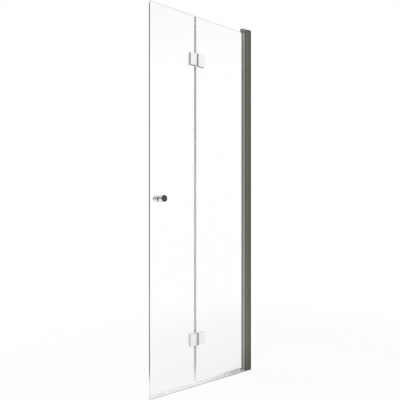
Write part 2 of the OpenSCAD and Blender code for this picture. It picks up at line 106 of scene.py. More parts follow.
# the camera is level, so the shift takes up the tilt; pixels are those of the 400 x 400 photograph
photo = {"side": 400, "focalPixels": 460.1, "horizonRow": 214.6, "turn": 39.35,
         "place": (-1.960, -1.929, 0.917), "sensor": 36, "clip": (0.05, 60)}


def makeCamera():
    data = bpy.data.cameras.new("camera")
    data.sensor_width = photo["sensor"]
    data.lens = data.sensor_width * photo["focalPixels"] / photo["side"]
    data.shift_y = (photo["horizonRow"] - photo["side"] / 2) / photo["side"]
    data.clip_start, data.clip_end = photo["clip"]
    camera = bpy.data.objects.new("camera", data)
    camera.location = photo["place"]
    camera.rotation_euler = (math.pi / 2, 0, -math.radians(photo["turn"]))
    scene.collection.objects.link(camera)
    scene.camera = camera


makeCamera()
scene.view_settings.view_transform = "Standard"


# node helpers: each takes numbers or sockets, so a material reads as one sum

def setInputs(tree, sockets, values):
    for socket, value in zip(sockets, values):
        if isinstance(value, bpy.types.NodeSocket):
            tree.links.new(value, socket)
        else:
            socket.default_value = value


def addNode(tree, kind, **inputs):
    node = tree.nodes.new(kind)
    setInputs(tree, [node.inputs[key.replace("_", " ")] for key in inputs], inputs.values())
    return node


def addMath(tree, operation, *values):
    node = tree.nodes.new("ShaderNodeMath")
    node.operation = operation
    setInputs(tree, node.inputs, values)
    return node.outputs[0]


def addRange(tree, value, between, toLow, toHigh):
    # an eased step from toLow to toHigh as value goes from one number of between to the other
    node = tree.nodes.new("ShaderNodeMapRange")
    node.interpolation_type = "SMOOTHSTEP"
    names = ("Value", "From Min", "From Max", "To Min", "To Max")
    setInputs(tree, [node.inputs[name] for name in names], (value, *between, toLow, toHigh))
    return node.outputs["Result"]


def addMix(tree, factor, first, second):
    node = tree.nodes.new("ShaderNodeMixShader")
    setInputs(tree, node.inputs, (factor, first, second))
    return node.outputs[0]


def addTint(tree, factor, first, second):
    node = tree.nodes.new("ShaderNodeMix")
    node.data_type = "RGBA"
    sockets = [s for s in node.inputs if s.enabled]
    setInputs(tree, sockets, (factor, first, second))
    return [s for s in node.outputs if s.enabled][0]


def product(tree, *values):
    total = values[0]
    for value in values[1:]:
        total = addMath(tree, "MULTIPLY", total, value)
    return total


def strongest(tree, *values):
    total = values[0]
    for value in values[1:]:
        total = addMath(tree, "MAXIMUM", total, value)
    return total


def splitPlace(tree):
    place = tree.nodes.new("ShaderNodeTexCoord").outputs["Object"]
    return addNode(tree, "ShaderNodeSeparateXYZ", Vector=place).outputs


def objectPlace(tree, scale=(1, 1, 1)):
    place = tree.nodes.new("ShaderNodeTexCoord").outputs["Object"]
    return addNode(tree, "ShaderNodeMapping", Vector=place, Scale=scale).outputs["Vector"]


def awayFrom(tree, value, middle):
    return addMath(tree, "ABSOLUTE", addMath(tree, "SUBTRACT", value, middle))


def headingOf(tree, x, y, heading):
    # x and y measured along a level heading
    return addMath(tree, "ADD", product(tree, x, heading[0]), product(tree, y, heading[1]))


noRay = 0.001        # a light strength below this means that a ray isn't of that kind


def lightKinds(tree):
    # what a mirror shows is the same room, whether or not glass lies in between
    light = tree.nodes.new("ShaderNodeLightPath").outputs
    inGlass = light["Is Transmission Ray"]
    mirroredOnce = addMath(tree, "MINIMUM", light["Glossy Depth"], 1.0)
    glossy = strongest(tree, light["Is Glossy Ray"], product(tree, inGlass, mirroredOnce))
    through = product(tree, inGlass, addMath(tree, "SUBTRACT", 1.0, mirroredOnce))
    return light["Is Camera Ray"], through, glossy


# headings are level directions; heights are the z of a direction; the camera itself sees white
studio = {
    "ambient": 0.62,                 # what matt surfaces get from all round
    "bright": (0.634, -0.773),       # heading of the room's bright side, front right
    "brightRound": (0.40, 0.85),     # from dark to bright round to that heading
    "darkSide": 0.42,                # the rest of the room, as polished metal mirrors it
    "ceiling": 0.95,
    "ceilingUp": (0.30, 0.60),
    "window": 0.87,                  # a bright band low behind the door, which level tops mirror
    "windowHeading": (0.634, 0.773),
    "windowRound": (0.80, 0.92),
    "windowFoot": (0.10, 0.16),
    "windowHead": (0.28, 0.34),
    "glassTop": 0.955,               # the backdrop as seen through the top of the glass
    "glassTopUp": (0.30, 0.42),
}


def makeWorld():
    world = bpy.data.worlds.new("studio")
    scene.world = world
    world.use_nodes = True
    tree = world.node_tree
    tree.nodes.clear()
    camera, through, glossy = lightKinds(tree)
    direction = tree.nodes.new("ShaderNodeTexCoord").outputs["Generated"]
    x, y, z = addNode(tree, "ShaderNodeSeparateXYZ", Vector=direction).outputs
    bright = headingOf(tree, x, y, studio["bright"])
    sides = addRange(tree, bright, studio["brightRound"], studio["darkSide"], 1.0)
    ceiling = addRange(tree, z, studio["ceilingUp"], 0.0, studio["ceiling"])
    ahead = headingOf(tree, x, y, studio["windowHeading"])
    window = product(
        tree, addRange(tree, ahead, studio["windowRound"], 0.0, 1.0),
        addRange(tree, z, studio["windowFoot"], 0.0, studio["window"]),
        addRange(tree, z, studio["windowHead"], 1.0, 0.0))
    mirrored = product(tree, strongest(tree, sides, ceiling, window), glossy)
    behind = product(tree, addRange(tree, z, studio["glassTopUp"], 1.0, studio["glassTop"]), through)
    seen = strongest(tree, camera, behind, mirrored)
    matt = product(tree, addMath(tree, "LESS_THAN", seen, noRay), studio["ambient"])
    background = addNode(
        tree, "ShaderNodeBackground", Color=(1, 1, 1, 1), Strength=strongest(tree, seen, matt))
    output = tree.nodes.new("ShaderNodeOutputWorld")
    tree.links.new(background.outputs[0], output.inputs["Surface"])


# the floor is white to the camera; what metal and glass mirror of it, and what shows of it through
# the glass, is darker in parts, a painted shade under and behind the door and towards the profile;
# near the door a share of it is matt instead of glowing, and so it keeps the door's soft shadow
floorLook = {
    "reach": 14, "drop": 0.0004,
    "matt": (0.90, 0.90, 0.90, 1),
    "glow": 0.84, "glowAway": (0.9, 2.4),
    "beside": 0.97, "besideAway": (0.03, 0.40),
    "underDoor": 0.88, "underProfile": 0.65, "towardsProfile": (-0.50, -0.04),
    "behind": 0.55, "behindFrom": (0.10, 0.40), "behindTo": (0.90, 1.30),
    "far": 0.42, "farAhead": (-4.6, -3.0),     # counted along the heading of the room's bright side
    "throughGlass": 0.93, "throughAway": (0.35, 1.9),
}


def floorMaterial():
    material = bpy.data.materials.new("studio floor")
    material.use_nodes = True
    tree = material.node_tree
    tree.nodes.clear()
    camera, through, glossy = lightKinds(tree)
    x, y, z = splitPlace(tree)
    away = addMath(tree, "ABSOLUTE", y)
    close = addRange(tree, x, floorLook["towardsProfile"], floorLook["underDoor"], floorLook["underProfile"])
    beside = addRange(tree, away, floorLook["besideAway"], close, floorLook["beside"])
    behind = strongest(
        tree, addRange(tree, y, floorLook["behindFrom"], 1.0, floorLook["behind"]),
        addRange(tree, y, floorLook["behindTo"], floorLook["behind"], 1.0))
    ahead = headingOf(tree, x, y, studio["bright"])
    far = addRange(tree, ahead, floorLook["farAhead"], floorLook["far"], 1.0)
    mirrored = product(tree, beside, behind, far, glossy)
    seenThrough = product(
        tree, addRange(tree, away, floorLook["throughAway"], floorLook["throughGlass"], 1.0), through)
    seen = strongest(tree, camera, seenThrough, mirrored)
    glow = addNode(tree, "ShaderNodeEmission", Color=(1, 1, 1, 1), Strength=seen)
    matt = addNode(tree, "ShaderNodeBsdfDiffuse", Color=floorLook["matt"])
    place = tree.nodes.new("ShaderNodeTexCoord").outputs["Object"]
    near = addNode(tree, "ShaderNodeVectorMath", Vector=place)
    near.operation = "LENGTH"
    share = product(
        tree, addMath(tree, "GREATER_THAN", seen, noRay),
        addRange(tree, near.outputs["Value"], floorLook["glowAway"], floorLook["glow"], 1.0))
    surface = addMix(tree, share, matt.outputs[0], glow.outputs[0])
    output = tree.nodes.new("ShaderNodeOutputMaterial")
    tree.links.new(surface, output.inputs["Surface"])
    return material


def makeFloor():
    mesh = bpy.data.meshes.new("floor")
    reach, level = floorLook["reach"], -floorLook["drop"]
    mesh.from_pydata(
        [(-reach, -reach, level), (reach, -reach, level), (reach, reach, level), (-reach, reach, level)],
        [], [(0, 1, 2, 3)])
    mesh.materials.append(floorMaterial())
    floor = bpy.data.objects.new("floor", mesh)
    scene.collection.objects.link(floor)


lampsAim = (-0.35, 0, 1.0)
lamps = {
    "key": {"place": (-3.4, -3.2, 3.4), "size": 2.6, "watts": 95},
    "fill": {"place": (2.6, -3.0, 2.4), "size": 3.0, "watts": 28},
    "back": {"place": (-0.6, 3.4, 3.2), "size": 3.0, "watts": 55},
}


def makeLamp(name, place, size, watts):
    data = bpy.data.lights.new(name, "AREA")
    data.shape = "DISK"
    data.size = size
    data.energy = watts
    lamp = bpy.data.objects.new(name, data)
    lamp.location = place
    aim = Vector(lampsAim) - Vector(place)
    lamp.rotation_euler = aim.to_track_quat("-Z", "Y").to_euler()
    lamp.visible_glossy = False       # the mirrored room is the world's, so no round highlight shows
    lamp.visible_camera = False
    lamp.visible_transmission = False
    scene.collection.objects.link(lamp)


makeWorld()
makeFloor()
for name, lamp in lamps.items():
    makeLamp(name, **lamp)
print("studio ready")


# finishes: lengths in the looks are metres, as object coordinates are

def startMaterial(name):
    material = bpy.data.materials.new(name)
    material.use_nodes = True
    tree = material.node_tree
    return material, tree, tree.nodes["Principled BSDF"]


def scaledBy(tree, colour, amount):
    scaled = tree.nodes.new("ShaderNodeVectorMath")
    scaled.operation = "SCALE"
    setInputs(tree, (scaled.inputs[0], scaled.inputs["Scale"]), (colour, amount))
    return scaled.outputs[0]


def varied(tree, colour, spread, place, scale):
    # the colour times 1 plus or minus spread, by a slow noise
    noise = addNode(tree, "ShaderNodeTexNoise", Vector=place, Scale=scale, Detail=3.0)
    return scaledBy(tree, colour, addRange(tree, noise.outputs["Fac"], (0.3, 0.7), 1 - spread, 1 + spread))


def roughen(tree, shader, height, low, high, strength, depth):
    # one pattern gives both the gloss variation and the relief
    tree.links.new(addRange(tree, height, (0.28, 0.72), low, high), shader.inputs["Roughness"])
    bump = addNode(tree, "ShaderNodeBump", Strength=strength, Distance=depth, Height=height)
    tree.links.new(bump.outputs[0], shader.inputs["Normal"])


profileLook = {"flange": 1.11, "flangeX": (-0.024, -0.015),
               "atWall": 0.33, "atWallX": (-0.008, -0.004),
               "low": 1.13, "lowZ": (0.45, 0.75)}


def profileShade(tree):
    # painted light and shade: the channel's flange is drawn a little paler than the jamb, with a painted
    # shadow line at the wall, and both are paler low down, a painted reflection of the floor
    x, y, z = splitPlace(tree)
    flange = addRange(tree, x, profileLook["flangeX"], 1.0, profileLook["flange"])
    return product(
        tree, addRange(tree, x, profileLook["atWallX"], flange, profileLook["atWall"]),
        addRange(tree, z, profileLook["lowZ"], profileLook["low"], 1.0))


# painted reflection: the foot of the door is drawn as if it mirrors the pale floor, and towards the
# wall more and more of the dark profile
footLook = {"towardsWallX": (-0.37, -0.06),
            "railTop": 0.16, "railEdge": 0.69, "railEdgeAtWall": 0.32, "railEdgeZ": (0.0055, 0.0061),
            "strip": 0.22, "stripDark": (0.30, 0.30, 0.29, 1),
            "pale": 1.45, "paleZ": (0.010, 0.050)}


def towardsWall(tree, x):
    # 0 at the fold line to 1 beside the wall profile
    return addRange(tree, x, footLook["towardsWallX"], 0.0, 1.0)


def darkRail(tree):
    # painted shade and reflection: the rail's upright edge is drawn darker than its top, and each darker
    # towards the wall, where it mirrors the dark profile
    x, y, z = splitPlace(tree)
    wall = towardsWall(tree, x)
    top = addMath(tree, "SUBTRACT", 1.0, product(tree, wall, footLook["railTop"]))
    edge = addMath(tree, "SUBTRACT", footLook["railEdge"], product(tree, wall, footLook["railEdgeAtWall"]))
    return addRange(tree, z, footLook["railEdgeZ"], edge, top)


def paleFoot(tree):
    # painted light: what stands close over the pale floor is drawn brighter, as the floor's glow on it
    return addRange(tree, splitPlace(tree)[2], footLook["paleZ"], footLook["pale"], 1.0)


blockLook = {"enterX": (-0.060, -0.051), "entered": 0.42,
             "enteredFoot": 0.12, "enteredFootZ": (0.006, 0.012)}


def blockShade(tree):
    # painted shade: a pivot block is drawn darker where it enters the dark profile, and most of all right
    # over the floor
    x, y, z = splitPlace(tree)
    entered = addRange(tree, z, blockLook["enteredFootZ"], blockLook["enteredFoot"], blockLook["entered"])
    return product(tree, paleFoot(tree), addRange(tree, x, blockLook["enterX"], 1.0, entered))


satin = {"acrossGrain": 2600, "alongGrain": 2.0, "spread": 0.03, "cloud": 6.0,
         "glossier": 0.04, "duller": 0.06, "relief": 0.15, "depth": 0.00004}


def extrudedMetal(name, colour, roughness, along=2, metallic=1.0, shade=None):
    # satin anodised extrusion: fine die lines run along its length
    material, tree, shader = startMaterial(name)
    grain = [satin["acrossGrain"]] * 3
    grain[along] = satin["alongGrain"]
    lines = addNode(tree, "ShaderNodeTexNoise", Vector=objectPlace(tree, grain), Scale=1.0, Detail=2.0)
    base = varied(tree, colour, satin["spread"], objectPlace(tree), satin["cloud"])
    # shade scales the colour by place, for painted light and shade
    if shade:
        base = scaledBy(tree, base, shade(tree))
    tree.links.new(base, shader.inputs["Base Color"])
    shader.inputs["Metallic"].default_value = metallic
    roughen(tree, shader, lines.outputs["Fac"], roughness - satin["glossier"], roughness + satin["duller"],
            satin["relief"], satin["depth"])
    return material


hingeLook = {"barrelHalf": 0.0064, "fade": 0.0004,              # either side of the fold line
             "lowerBarrel": 0.50, "upperBarrel": 0.77, "midwayZ": (0.5, 1.5),
             "underside": 0.42, "undersideZ": (0.0003, 0.0008),  # over the upper hinge's foot
             "undersideEndZ": (-0.4, -0.3)}                      # so that the lower hinge is left out


def darkBarrel(tree):
    # painted shade: the knuckles sit deep between the leaves and are drawn darker there, the lower one
    # more than the upper, and so is the upper hinge's underside
    x, y, z = splitPlace(tree)
    half, foot = hingeLook["barrelHalf"], door["upperHinge"][0] * mm
    off = awayFrom(tree, x, foldLine * mm)
    barrel = addRange(tree, z, hingeLook["midwayZ"], hingeLook["lowerBarrel"], hingeLook["upperBarrel"])
    between = addRange(tree, off, (half - hingeLook["fade"], half), barrel, 1.0)
    above = addRange(tree, z, [foot + step for step in hingeLook["undersideZ"]], 0.0, 1.0)
    below = addRange(tree, z, [foot + step for step in hingeLook["undersideEndZ"]], 1.0, 0.0)
    under = addRange(tree, strongest(tree, above, below), (0.0, 1.0), hingeLook["underside"], 1.0)
    return product(tree, between, under)


gripLook = {"rim": 0.07, "rimDeep": 0.0007, "rimFade": 0.0002,
            "belly": 0.72, "bellyDown": 0.0125, "bellyFade": 0.0020}


def darkRim(tree):
    # the knob's outer rim is smoked like the disc inside it, and its underside is drawn darker, a
    # painted shade
    x, y, z = splitPlace(tree)
    rim = door["knobFace"] * mm - gripLook["rimDeep"]
    belly = door["knobAt"][1] * mm - gripLook["bellyDown"]
    away = addMath(tree, "ABSOLUTE", y)
    return product(
        tree, addRange(tree, away, (rim - gripLook["rimFade"], rim), 1.0, gripLook["rim"]),
        addRange(tree, z, (belly - gripLook["bellyFade"], belly), gripLook["belly"], 1.0))


plating = {"ripples": 260.0, "spread": 0.015, "cloud": 60.0, "duller": 1.4, "depth": 0.00003}


def platedMetal(name, colour, roughness, ripple=0.05, shade=None):
    # polished plating over a cast or turned body: nearly smooth, with a faint unevenness
    material, tree, shader = startMaterial(name)
    place = objectPlace(tree)
    ripples = addNode(tree, "ShaderNodeTexNoise", Vector=place, Scale=plating["ripples"], Detail=4.0)
    base = varied(tree, colour, plating["spread"], place, plating["cloud"])
    # shade scales the colour by place: painted shade, and on the knob its smoked rim
    if shade:
        base = scaledBy(tree, base, shade(tree))
    tree.links.new(base, shader.inputs["Base Color"])
    shader.inputs["Metallic"].default_value = 1.0
    roughen(tree, shader, ripples.outputs["Fac"], roughness, roughness * plating["duller"], ripple,
            plating["depth"])
    return material


moulding = {"grit": 1400.0, "spread": 0.03, "cloud": 30.0, "bend": 1.47, "gloss": 0.05,
            "tooth": 0.12, "depth": 0.00006}


def moulded(name, colour, roughness):
    # moulded plastic or rubber with a fine even tooth
    material, tree, shader = startMaterial(name)
    place = objectPlace(tree)
    grit = addNode(tree, "ShaderNodeTexNoise", Vector=place, Scale=moulding["grit"], Detail=2.0)
    base = varied(tree, colour, moulding["spread"], place, moulding["cloud"])
    tree.links.new(base, shader.inputs["Base Color"])
    shader.inputs["IOR"].default_value = moulding["bend"]
    roughen(tree, shader, grit.outputs["Fac"], roughness - moulding["gloss"], roughness + moulding["gloss"],
            moulding["tooth"], moulding["depth"])
    return material


def lampsPass(material, tint):
    # lamps reach what is behind a clear piece, so its shadow stays faint
    tree = material.node_tree
    output = tree.nodes["Material Output"]
    solid = output.inputs["Surface"].links[0].from_socket
    light = tree.nodes.new("ShaderNodeLightPath")
    through = addNode(tree, "ShaderNodeBsdfTransparent", Color=tint)
    mixed = addMix(tree, light.outputs["Is Shadow Ray"], solid, through.outputs[0])
    tree.links.new(mixed, output.inputs["Surface"])
    return material


glassLook = {
    "sheet": (0.990, 0.997, 0.993, 1),
    "freeEdge": (0.005, 0.007, 0.006, 1),    # the polished edge: the sheet's own tint, darkened further as painted shade
    "topEdge": (0.50, 0.54, 0.52, 1),
    "edgeDeep": 0.0007, "edgeFade": 0.6,     # the fade begins at this share of the depth
    "endEdge": (0.70, 0.72, 0.71, 1),        # near its ends the free edge is painted pale instead, a painted reflection of white
    "footZ": (0.062, 0.132), "headZ": (1.968, 1.974),
    "bodyBend": 1.04, "coatBend": 1.5,
    "wave": (3, 3, 1.2), "waveStrength": 0.02, "waveDepth": 0.0005,
    "shadow": (0.93, 0.95, 0.94, 1),
}


def clearGlass(name):
    # toughened sheet: a very slight roller wave bends what it mirrors, and its edges carry painted shade,
    # the free edge dark and the top edge grey; its mirror is a coat, and its body bends light little, as a
    # thin pane seen from afar seems to
    material, tree, shader = startMaterial(name)
    x, y, z = splitPlace(tree)
    deep, edgeAt, topAt = glassLook["edgeDeep"], door["freeEdge"] * mm, door["paneTop"] * mm
    fade = deep * glassLook["edgeFade"]
    free = addRange(tree, x, (edgeAt + fade, edgeAt + deep), 1.0, 0.0)
    top = addRange(tree, z, (topAt - deep, topAt - fade), 0.0, 1.0)
    tint = addTint(tree, top, glassLook["sheet"], glassLook["topEdge"])
    foot = addRange(tree, z, glassLook["footZ"], 0.0, 1.0)
    head = addRange(tree, z, glassLook["headZ"], 1.0, 0.0)
    edge = addTint(tree, product(tree, foot, head), glassLook["endEdge"], glassLook["freeEdge"])
    tree.links.new(addTint(tree, free, tint, edge), shader.inputs["Base Color"])
    shader.inputs["Roughness"].default_value = 0.0
    shader.inputs["IOR"].default_value = glassLook["bodyBend"]
    shader.inputs["Coat Weight"].default_value = 1.0
    shader.inputs["Coat Roughness"].default_value = 0.0
    shader.inputs["Coat IOR"].default_value = glassLook["coatBend"]
    shader.inputs["Transmission Weight"].default_value = 1.0
    place = objectPlace(tree, glassLook["wave"])
    wave = addNode(tree, "ShaderNodeTexNoise", Vector=place, Scale=1.0, Detail=1.0)
    bump = addNode(tree, "ShaderNodeBump", Strength=glassLook["waveStrength"],
                   Distance=glassLook["waveDepth"], Height=wave.outputs["Fac"])
    for socket in ("Normal", "Coat Normal"):
        tree.links.new(bump.outputs[0], shader.inputs[socket])
    return lampsPass(material, glassLook["shadow"])


stripLook = {
    "clear": (0.80, 0.81, 0.79, 1), "clearAlpha": 0.025,       # the legs
    "milky": (0.40, 0.40, 0.39, 1), "milkyAlpha": 0.92,        # the bulbs at the fold line
    "milkyLow": (0.505, 0.495, 0.495, 1), "lowZ": (1.05, 1.25),  # paler in the lower half
    "bulbOff": -0.0002, "bulbHalf": 0.0055, "bulbFade": 0.0004,
    "bulbFootZ": (-0.04, 0.14),                                # towards the floor they clear
    "lip": (0.90, 0.90, 0.89, 1), "lipAlpha": 0.22, "lipTop": 0.0119, "lipFade": 0.0004,
    "clipTop": 0.0235, "clipFade": 0.0002,                     # the drip strips end here
    "bend": 1.45, "haze": (900, 900, 9), "gloss": (0.22, 0.36), "relief": 0.05, "depth": 0.00004,
}


def clearStrip(name):
    # clear legs with a milky bulb or lip, extruded together
    material, tree, shader = startMaterial(name)
    x, y, z = splitPlace(tree)
    half, fade = stripLook["bulbHalf"], stripLook["bulbFade"]
    lipTop, lipFade = stripLook["lipTop"], stripLook["lipFade"]
    off = awayFrom(tree, x, foldLine * mm + stripLook["bulbOff"])
    bulb = addRange(tree, off, (half - fade, half + fade), stripLook["milkyAlpha"], stripLook["clearAlpha"])
    milky = product(tree, bulb, addRange(tree, z, stripLook["bulbFootZ"], 0.0, 1.0))
    lip = addRange(tree, z, (lipTop - lipFade, lipTop + lipFade), stripLook["lipAlpha"], 0.0)
    clip = (stripLook["clipTop"] - stripLook["clipFade"], stripLook["clipTop"])
    # painted reflection: towards the wall the drip strips are drawn darker, as if they mirror the dark
    # profile
    near = product(tree, towardsWall(tree, x), addRange(tree, z, clip, 1.0, 0.0))
    body = strongest(tree, milky, lip, product(tree, near, footLook["strip"]))
    tree.links.new(body, shader.inputs["Alpha"])
    low = addRange(tree, z, stripLook["lowZ"], 0.0, 1.0)
    colour = addTint(tree, milky, stripLook["clear"], addTint(
        tree, low, stripLook["milkyLow"], stripLook["milky"]))
    onLip = addMath(tree, "GREATER_THAN", lip, 0.01)
    colour = addTint(tree, onLip, colour, stripLook["lip"])
    tree.links.new(addTint(tree, near, colour, footLook["stripDark"]), shader.inputs["Base Color"])
    shader.inputs["IOR"].default_value = stripLook["bend"]
    place = objectPlace(tree, stripLook["haze"])
    haze = addNode(tree, "ShaderNodeTexNoise", Vector=place, Scale=1.0, Detail=2.0)
    roughen(tree, shader, haze.outputs["Fac"], *stripLook["gloss"], stripLook["relief"], stripLook["depth"])
    return material


discLook = {"radius": 0.0159, "dark": (0.046, 0.046, 0.050, 1), "light": (0.105, 0.105, 0.108, 1),
            "lightShares": (0.15, 0.8),      # of the radius
            "ringPitch": 0.00045, "ringSwing": 0.3, "gloss": (0.16, 0.26), "relief": 0.10, "depth": 0.00003}


def turnedDisc(name):
    # smoked plating over fine turned rings, lighter towards the middle
    material, tree, shader = startMaterial(name)
    x, y, z = splitPlace(tree)
    dx = addMath(tree, "SUBTRACT", x, door["knobAt"][0] * mm)
    dz = addMath(tree, "SUBTRACT", z, door["knobAt"][1] * mm)
    reach = addMath(tree, "SQRT", addMath(tree, "ADD", product(tree, dx, dx), product(tree, dz, dz)))
    fade = [discLook["radius"] * share for share in discLook["lightShares"]]
    inner = addRange(tree, reach, fade, 1.0, 0.0)
    tree.links.new(addTint(tree, inner, discLook["dark"], discLook["light"]), shader.inputs["Base Color"])
    shader.inputs["Metallic"].default_value = 1.0
    rings = addMath(tree, "SINE", product(tree, reach, 2 * math.pi / discLook["ringPitch"]))
    height = addMath(tree, "ADD", product(tree, rings, discLook["ringSwing"]), 0.5)
    roughen(tree, shader, height, *discLook["gloss"], discLook["relief"], discLook["depth"])
    return material


finishes = {
    "profile_metal": extrudedMetal("dark satin profile", (0.149, 0.142, 0.124), 0.34, shade=profileShade),
    "stile_metal": extrudedMetal("grey satin stile", (0.426, 0.424, 0.392), 0.28, shade=paleFoot),
    "block_metal": extrudedMetal("grey satin block", (0.400, 0.400, 0.385), 0.36,
                                 along=0, shade=blockShade),
    "rail_metal": extrudedMetal("bright threshold rail", (0.93, 0.93, 0.92), 0.30,
                                along=0, metallic=0.1, shade=darkRail),
    "cap_plastic": moulded("dark cap", (0.085, 0.080, 0.074), 0.45),
    "hinge_chrome": platedMetal("hinge plating", (0.90, 0.90, 0.885), 0.13, shade=darkBarrel),
    "knob_chrome": platedMetal("knob plating", (0.86, 0.86, 0.86), 0.06, shade=darkRim),
    "smoked_metal": turnedDisc("smoked knob disc"),
    "steel": platedMetal("screw steel", (0.62, 0.62, 0.61), 0.28, ripple=0.1),
    "clear_glass": clearGlass("clear glass"),
    "clear_seal": clearStrip("clear strip"),
    "nylon": moulded("nylon", (0.78, 0.78, 0.74), 0.40),
    "grey_rubber": moulded("grey gasket rubber", (0.29, 0.29, 0.28), 0.55),
    "dark_rubber": moulded("dark grey rubber", (0.19, 0.19, 0.19), 0.60),
}
for name, node in nodes.items():
    node.data.materials.clear()
    node.data.materials.append(finishes[slotOf[name]])
print("finishes ready")


# mesh helpers

def addPiece(name, mesh, *replaced):
    piece = bpy.data.objects.new(name, mesh)
    scene.collection.objects.link(piece)
    first = replaced[0]
    mesh.materials.clear()
    mesh.materials.append(finishes[slotOf[first]])
    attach(piece, body_of(nodes[first])[0])
    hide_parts(*replaced)
    return piece


def smoothCurves(mesh, angle=32):
    mesh.polygons.foreach_set("use_smooth", np.ones(len(mesh.polygons), bool))
    mesh.set_sharp_from_angle(angle=math.radians(angle))


def closeShell(name, points, quads, ends=()):
    # points in millimetres; doubles are merged and every face is turned outwards
    mesh = bpy.data.meshes.new(name)
    faces = quads.tolist() + [list(end) for end in ends]
    mesh.from_pydata((np.asarray(points) * mm).tolist(), [], faces)
    work = bmesh.new()
    work.from_mesh(mesh)
    bmesh.ops.remove_doubles(work, verts=work.verts, dist=1e-6)
    bmesh.ops.recalc_face_normals(work, faces=work.faces)
    work.to_mesh(mesh)
    work.free()
    smoothCurves(mesh)
    return mesh


def joined(name, meshes):
    # several shells as one mesh
    work = bmesh.new()
    for mesh in meshes:
        work.from_mesh(mesh)
    whole = bpy.data.meshes.new(name)
    work.to_mesh(whole)
    work.free()
    smoothCurves(whole)
    return whole


def ringQuads(rings, count):
    # each quad joins point j and j + 1 of ring i with the same two of ring i + 1, and j goes round
    i, j = np.meshgrid(np.arange(rings - 1), np.arange(count), indexing="ij")
    k = (j + 1) % count
    here, ahead = i * count, (i + 1) * count
    return np.stack([here + j, here + k, ahead + k, ahead + j], -1).reshape(-1, 4)


def roundLoop(corners, steps=6):
    # corners are (u, v, radius); each is swapped for an arc that touches both its sides:
    # the arc's middle is radius / sin(half the corner's angle) along the corner's bisector
    loop = []
    count = len(corners)
    for n, (u, v, radius) in enumerate(corners):
        here = np.array((u, v), float)
        back = np.array(corners[n - 1][:2], float) - here
        ahead = np.array(corners[(n + 1) % count][:2], float) - here
        if radius <= 0:
            loop.append(here[None])
            continue
        back /= np.linalg.norm(back)
        ahead /= np.linalg.norm(ahead)
        half = math.acos(np.clip(back @ ahead, -1, 1)) / 2
        bisector = (back + ahead) / np.linalg.norm(back + ahead)
        middle = here + bisector * radius / math.sin(half)
        first = here + back * radius / math.tan(half) - middle
        last = here + ahead * radius / math.tan(half) - middle
        turn = math.atan2(first[0] * last[1] - first[1] * last[0], first @ last)
        angle = math.atan2(first[1], first[0]) + np.linspace(0, turn, steps)
        loop.append(middle + radius * np.stack([np.cos(angle), np.sin(angle)], -1))
    return np.concatenate(loop)


def insetLoop(loop, depth):
    # every point moves inwards along the mean of its two sides' normals, by depth over the cosine
    # of half the turn there, so that each side moves by depth; very sharp corners are held back
    side = np.roll(loop, -1, 0) - loop
    side /= np.maximum(np.linalg.norm(side, axis=1, keepdims=True), 1e-9)
    area = np.sum(loop[:, 0] * np.roll(loop[:, 1], -1) - loop[:, 1] * np.roll(loop[:, 0], -1))
    normal = np.stack([-side[:, 1], side[:, 0]], -1) * np.sign(area)
    mean = normal + np.roll(normal, 1, 0)
    mean /= np.maximum(np.sum(mean * mean, axis=1, keepdims=True) / 2, 0.3)
    return loop + mean * np.reshape(depth, (-1, 1, 1))


def carryLoop(loop, start, end, axis, soft, rows, stretches=1):
    # the loop is carried from start to end along the axis, in equal stretches; near each end it is
    # drawn in over a few rows by soft * (1 - cos a) at a distance soft * (1 - sin a) from the end, as a
    # goes from 90 to 0 degrees
    a = np.linspace(math.pi / 2, 0, rows)
    draw, back = soft * (1 - np.cos(a)), soft * (1 - np.sin(a))
    inside = np.linspace(start + soft, end - soft, stretches + 1)[1:-1]
    along = np.concatenate([start + back, inside, end - back[::-1]])
    depth = np.concatenate([draw, np.zeros(len(inside)), draw[::-1]])
    rings = insetLoop(loop, depth)
    s = np.broadcast_to(along[:, None], rings.shape[:2])
    u, v = rings[..., 0], rings[..., 1]
    points = {"x": (s, u, v), "y": (u, s, v), "z": (u, v, s)}[axis]
    count = len(loop)
    ends = [range(count), range((len(along) - 1) * count, len(along) * count)]
    return np.stack(points, -1).reshape(-1, 3), ringQuads(len(along), count), ends


def carried(name, *runs):
    # one mesh from several carried loops
    points, quads, ends, base = [], [], [], 0
    for runPoints, runQuads, runEnds in runs:
        points.append(runPoints)
        quads.append(runQuads + base)
        ends += [[n + base for n in end] for end in runEnds]
        base += len(runPoints)
    return closeShell(name, np.concatenate(points), np.concatenate(quads), ends)


def turned(name, outline, middle, side, steps=96):
    # the outline of (radius, distance from the glass) turns round an axis along Y:
    # x = middle + radius * cos t, z = height + radius * sin t, y = side * distance
    radius, out = np.asarray(outline, float).T
    t = np.linspace(0, 2 * math.pi, steps, endpoint=False)
    x = middle[0] + radius[:, None] * np.cos(t)
    z = middle[1] + radius[:, None] * np.sin(t)
    y = side * np.broadcast_to(out[:, None], x.shape)
    points = np.stack([x, y, z], -1).reshape(-1, 3)
    return closeShell(name, points, ringQuads(len(radius), steps))


def arc(cu, cv, radius, fromAngle, toAngle, steps=6):
    # points at radius round (cu, cv), the angle in degrees going evenly from one to the other
    a = np.radians(np.linspace(fromAngle, toAngle, steps))
    return np.stack([cu + radius * np.cos(a), cv + radius * np.sin(a)], -1).tolist()


def eased(node, width, segments=3, angle=35):
    # a copy of a machined solid with its sharp edges broken by a small radius
    mesh = nodes[node].data.copy()
    work = bmesh.new()
    work.from_mesh(mesh)
    bmesh.ops.remove_doubles(work, verts=work.verts, dist=2e-6)
    bmesh.ops.dissolve_limit(work, angle_limit=math.radians(1), verts=work.verts, edges=work.edges)
    work.to_mesh(mesh)
    work.free()
    smoothCurves(mesh)
    piece = addPiece(node + "_eased", mesh, node)
    bevel = piece.modifiers.new("ease", "BEVEL")
    bevel.width = width * mm
    bevel.segments = segments
    bevel.limit_method = "ANGLE"
    bevel.angle_limit = math.radians(angle)
    bevel.use_clamp_overlap = True
    bevel.harden_normals = True


